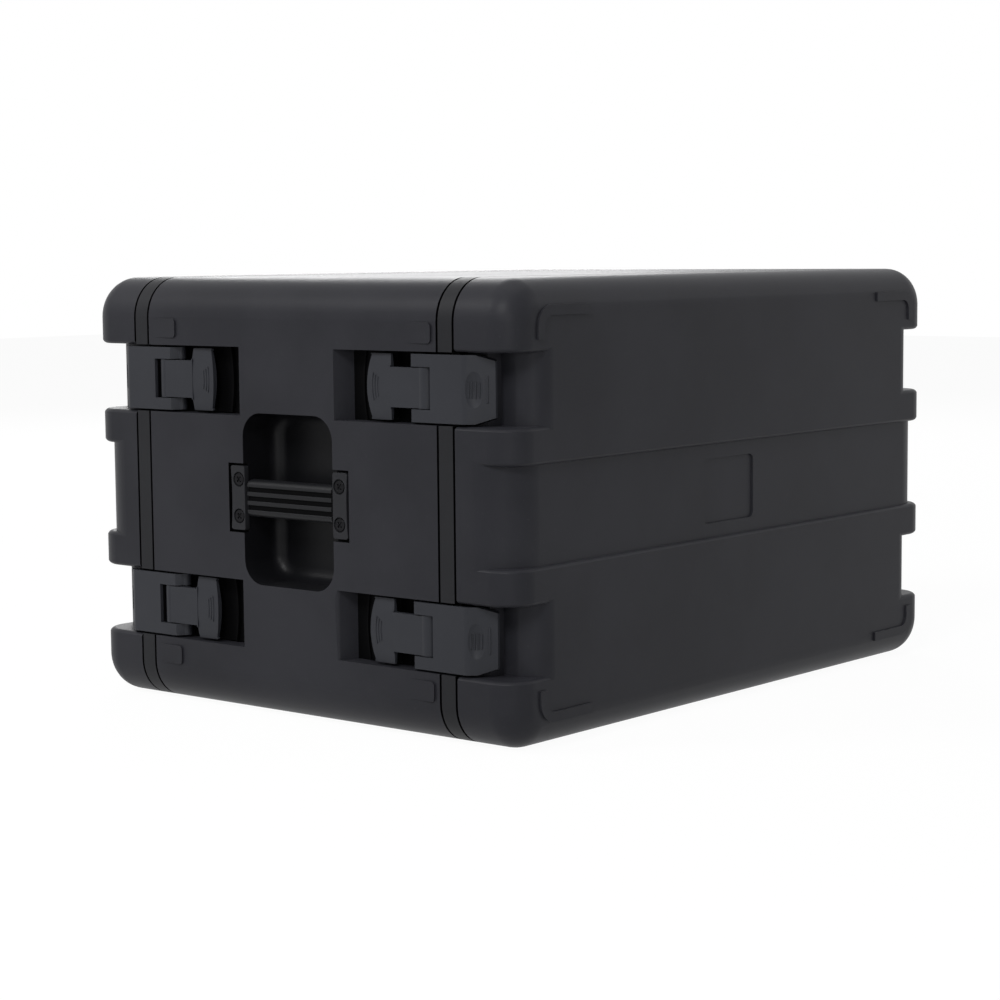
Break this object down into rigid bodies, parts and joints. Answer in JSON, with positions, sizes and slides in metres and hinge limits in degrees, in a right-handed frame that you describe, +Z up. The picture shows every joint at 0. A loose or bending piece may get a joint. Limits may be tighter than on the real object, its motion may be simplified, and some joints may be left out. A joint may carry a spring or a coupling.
{
  "type": "rack case",
  "caption": "Moulded rack case for 19 inch equipment: lift-off lids held by over-centre draw latches, recessed side grips and steel rack rails.",
  "frame": {"origin": "centre of the flat underside, where the case stands", "axes": "+Z up, +X to the right across the front lid, -Y out of the front lid"},
  "size_m": [0.5832, 0.4472, 0.34],
  "materials": {
    "shell": "satin, fine grain",
    "rim": "satin",
    "seal": "matte",
    "latch": "satin",
    "latch_base": "satin",
    "grip": "matte",
    "end_plate": "satin",
    "steel": "zinc plated",
    "black_steel": "black oxide",
    "rail": "black powder coat"
  },
  "bodies": {
    "case": {"body_shell": "shell", "side_walls": "shell", "latch_trays": "shell", "left_handle_cup": "shell", "right_handle_cup": "shell", "rail_bosses": "shell", "front_rim": "rim", "rear_rim": "rim", "front_gasket": "seal", "rear_gasket": "seal", "latch_bases": "latch_base", "latch_pins": "steel", "latch_rivets": "steel", "left_grip": "grip", "right_grip": "grip", "left_strap": "steel", "right_strap": "steel", "left_end_plates": "end_plate", "right_end_plates": "end_plate", "left_handle_screws": "black_steel", "right_handle_screws": "black_steel", "front_left_rail": "rail", "front_right_rail": "rail", "rear_left_rail": "rail", "rear_right_rail": "rail", "rail_screws": "steel"},
    "front_lid": {"front_lid": "shell"},
    "rear_lid": {"rear_lid": "shell"},
    "lever_front_left_upper": {"lever_front_left_upper": "latch"},
    "plate_front_left_upper": {"plate_front_left_upper": "latch"},
    "lever_front_left_lower": {"lever_front_left_lower": "latch"},
    "plate_front_left_lower": {"plate_front_left_lower": "latch"},
    "lever_front_right_upper": {"lever_front_right_upper": "latch"},
    "plate_front_right_upper": {"plate_front_right_upper": "latch"},
    "lever_front_right_lower": {"lever_front_right_lower": "latch"},
    "plate_front_right_lower": {"plate_front_right_lower": "latch"},
    "lever_rear_left_upper": {"lever_rear_left_upper": "latch"},
    "plate_rear_left_upper": {"plate_rear_left_upper": "latch"},
    "lever_rear_left_lower": {"lever_rear_left_lower": "latch"},
    "plate_rear_left_lower": {"plate_rear_left_lower": "latch"},
    "lever_rear_right_upper": {"lever_rear_right_upper": "latch"},
    "plate_rear_right_upper": {"plate_rear_right_upper": "latch"},
    "lever_rear_right_lower": {"lever_rear_right_lower": "latch"},
    "plate_rear_right_lower": {"plate_rear_right_lower": "latch"}
  },
  "joints": [
    {"name": "front_lid_pull", "type": "slide", "parent": "case", "child": "front_lid", "axis": [0, -1, 0], "range_m": [0, 0.04]},
    {"name": "rear_lid_pull", "type": "slide", "parent": "case", "child": "rear_lid", "axis": [0, 1, 0], "range_m": [0, 0.04]},
    {"name": "lever_front_left_upper_pivot", "type": "hinge", "parent": "case", "child": "lever_front_left_upper", "pos_m": [-0.2827, -0.1365, 0.2605], "axis": [0, 0, 1], "range_deg": [0, 70]},
    {"name": "plate_front_left_upper_pivot", "type": "hinge", "parent": "lever_front_left_upper", "child": "plate_front_left_upper", "pos_m": [-0.2805, -0.125, 0.2605], "axis": [0, 0, -1], "range_deg": [0, 120]},
    {"name": "lever_front_left_lower_pivot", "type": "hinge", "parent": "case", "child": "lever_front_left_lower", "pos_m": [-0.2827, -0.1365, 0.0795], "axis": [0, 0, 1], "range_deg": [0, 70]},
    {"name": "plate_front_left_lower_pivot", "type": "hinge", "parent": "lever_front_left_lower", "child": "plate_front_left_lower", "pos_m": [-0.2805, -0.125, 0.0795], "axis": [0, 0, -1], "range_deg": [0, 120]},
    {"name": "lever_front_right_upper_pivot", "type": "hinge", "parent": "case", "child": "lever_front_right_upper", "pos_m": [0.2827, -0.1365, 0.2605], "axis": [0, 0, -1], "range_deg": [0, 70]},
    {"name": "plate_front_right_upper_pivot", "type": "hinge", "parent": "lever_front_right_upper", "child": "plate_front_right_upper", "pos_m": [0.2805, -0.125, 0.2605], "axis": [0, 0, 1], "range_deg": [0, 120]},
    {"name": "lever_front_right_lower_pivot", "type": "hinge", "parent": "case", "child": "lever_front_right_lower", "pos_m": [0.2827, -0.1365, 0.0795], "axis": [0, 0, -1], "range_deg": [0, 70]},
    {"name": "plate_front_right_lower_pivot", "type": "hinge", "parent": "lever_front_right_lower", "child": "plate_front_right_lower", "pos_m": [0.2805, -0.125, 0.0795], "axis": [0, 0, 1], "range_deg": [0, 120]},
    {"name": "lever_rear_left_upper_pivot", "type": "hinge", "parent": "case", "child": "lever_rear_left_upper", "pos_m": [-0.2827, 0.1365, 0.2605], "axis": [0, 0, -1], "range_deg": [0, 70]},
    {"name": "plate_rear_left_upper_pivot", "type": "hinge", "parent": "lever_rear_left_upper", "child": "plate_rear_left_upper", "pos_m": [-0.2805, 0.125, 0.2605], "axis": [0, 0, 1], "range_deg": [0, 120]},
    {"name": "lever_rear_left_lower_pivot", "type": "hinge", "parent": "case", "child": "lever_rear_left_lower", "pos_m": [-0.2827, 0.1365, 0.0795], "axis": [0, 0, -1], "range_deg": [0, 70]},
    {"name": "plate_rear_left_lower_pivot", "type": "hinge", "parent": "lever_rear_left_lower", "child": "plate_rear_left_lower", "pos_m": [-0.2805, 0.125, 0.0795], "axis": [0, 0, 1], "range_deg": [0, 120]},
    {"name": "lever_rear_right_upper_pivot", "type": "hinge", "parent": "case", "child": "lever_rear_right_upper", "pos_m": [0.2827, 0.1365, 0.2605], "axis": [0, 0, 1], "range_deg": [0, 70]},
    {"name": "plate_rear_right_upper_pivot", "type": "hinge", "parent": "lever_rear_right_upper", "child": "plate_rear_right_upper", "pos_m": [0.2805, 0.125, 0.2605], "axis": [0, 0, -1], "range_deg": [0, 120]},
    {"name": "lever_rear_right_lower_pivot", "type": "hinge", "parent": "case", "child": "lever_rear_right_lower", "pos_m": [0.2827, 0.1365, 0.0795], "axis": [0, 0, 1], "range_deg": [0, 70]},
    {"name": "plate_rear_right_lower_pivot", "type": "hinge", "parent": "lever_rear_right_lower", "child": "plate_rear_right_lower", "pos_m": [0.2805, 0.125, 0.0795], "axis": [0, 0, -1], "range_deg": [0, 120]}
  ],
  "couplings": [
    {"joint": "lever_front_left_upper_pivot", "follows": "front_lid_pull", "rad_per_m": 30.54},
    {"joint": "plate_front_left_upper_pivot", "follows": "front_lid_pull", "rad_per_m": 52.35},
    {"joint": "lever_front_left_lower_pivot", "follows": "front_lid_pull", "rad_per_m": 30.54},
    {"joint": "plate_front_left_lower_pivot", "follows": "front_lid_pull", "rad_per_m": 52.35},
    {"joint": "lever_front_right_upper_pivot", "follows": "front_lid_pull", "rad_per_m": 30.54},
    {"joint": "plate_front_right_upper_pivot", "follows": "front_lid_pull", "rad_per_m": 52.35},
    {"joint": "lever_front_right_lower_pivot", "follows": "front_lid_pull", "rad_per_m": 30.54},
    {"joint": "plate_front_right_lower_pivot", "follows": "front_lid_pull", "rad_per_m": 52.35},
    {"joint": "lever_rear_left_upper_pivot", "follows": "rear_lid_pull", "rad_per_m": 30.54},
    {"joint": "plate_rear_left_upper_pivot", "follows": "rear_lid_pull", "rad_per_m": 52.35},
    {"joint": "lever_rear_left_lower_pivot", "follows": "rear_lid_pull", "rad_per_m": 30.54},
    {"joint": "plate_rear_left_lower_pivot", "follows": "rear_lid_pull", "rad_per_m": 52.35},
    {"joint": "lever_rear_right_upper_pivot", "follows": "rear_lid_pull", "rad_per_m": 30.54},
    {"joint": "plate_rear_right_upper_pivot", "follows": "rear_lid_pull", "rad_per_m": 52.35},
    {"joint": "lever_rear_right_lower_pivot", "follows": "rear_lid_pull", "rad_per_m": 30.54},
    {"joint": "plate_rear_right_lower_pivot", "follows": "rear_lid_pull", "rad_per_m": 52.35}
  ]
}
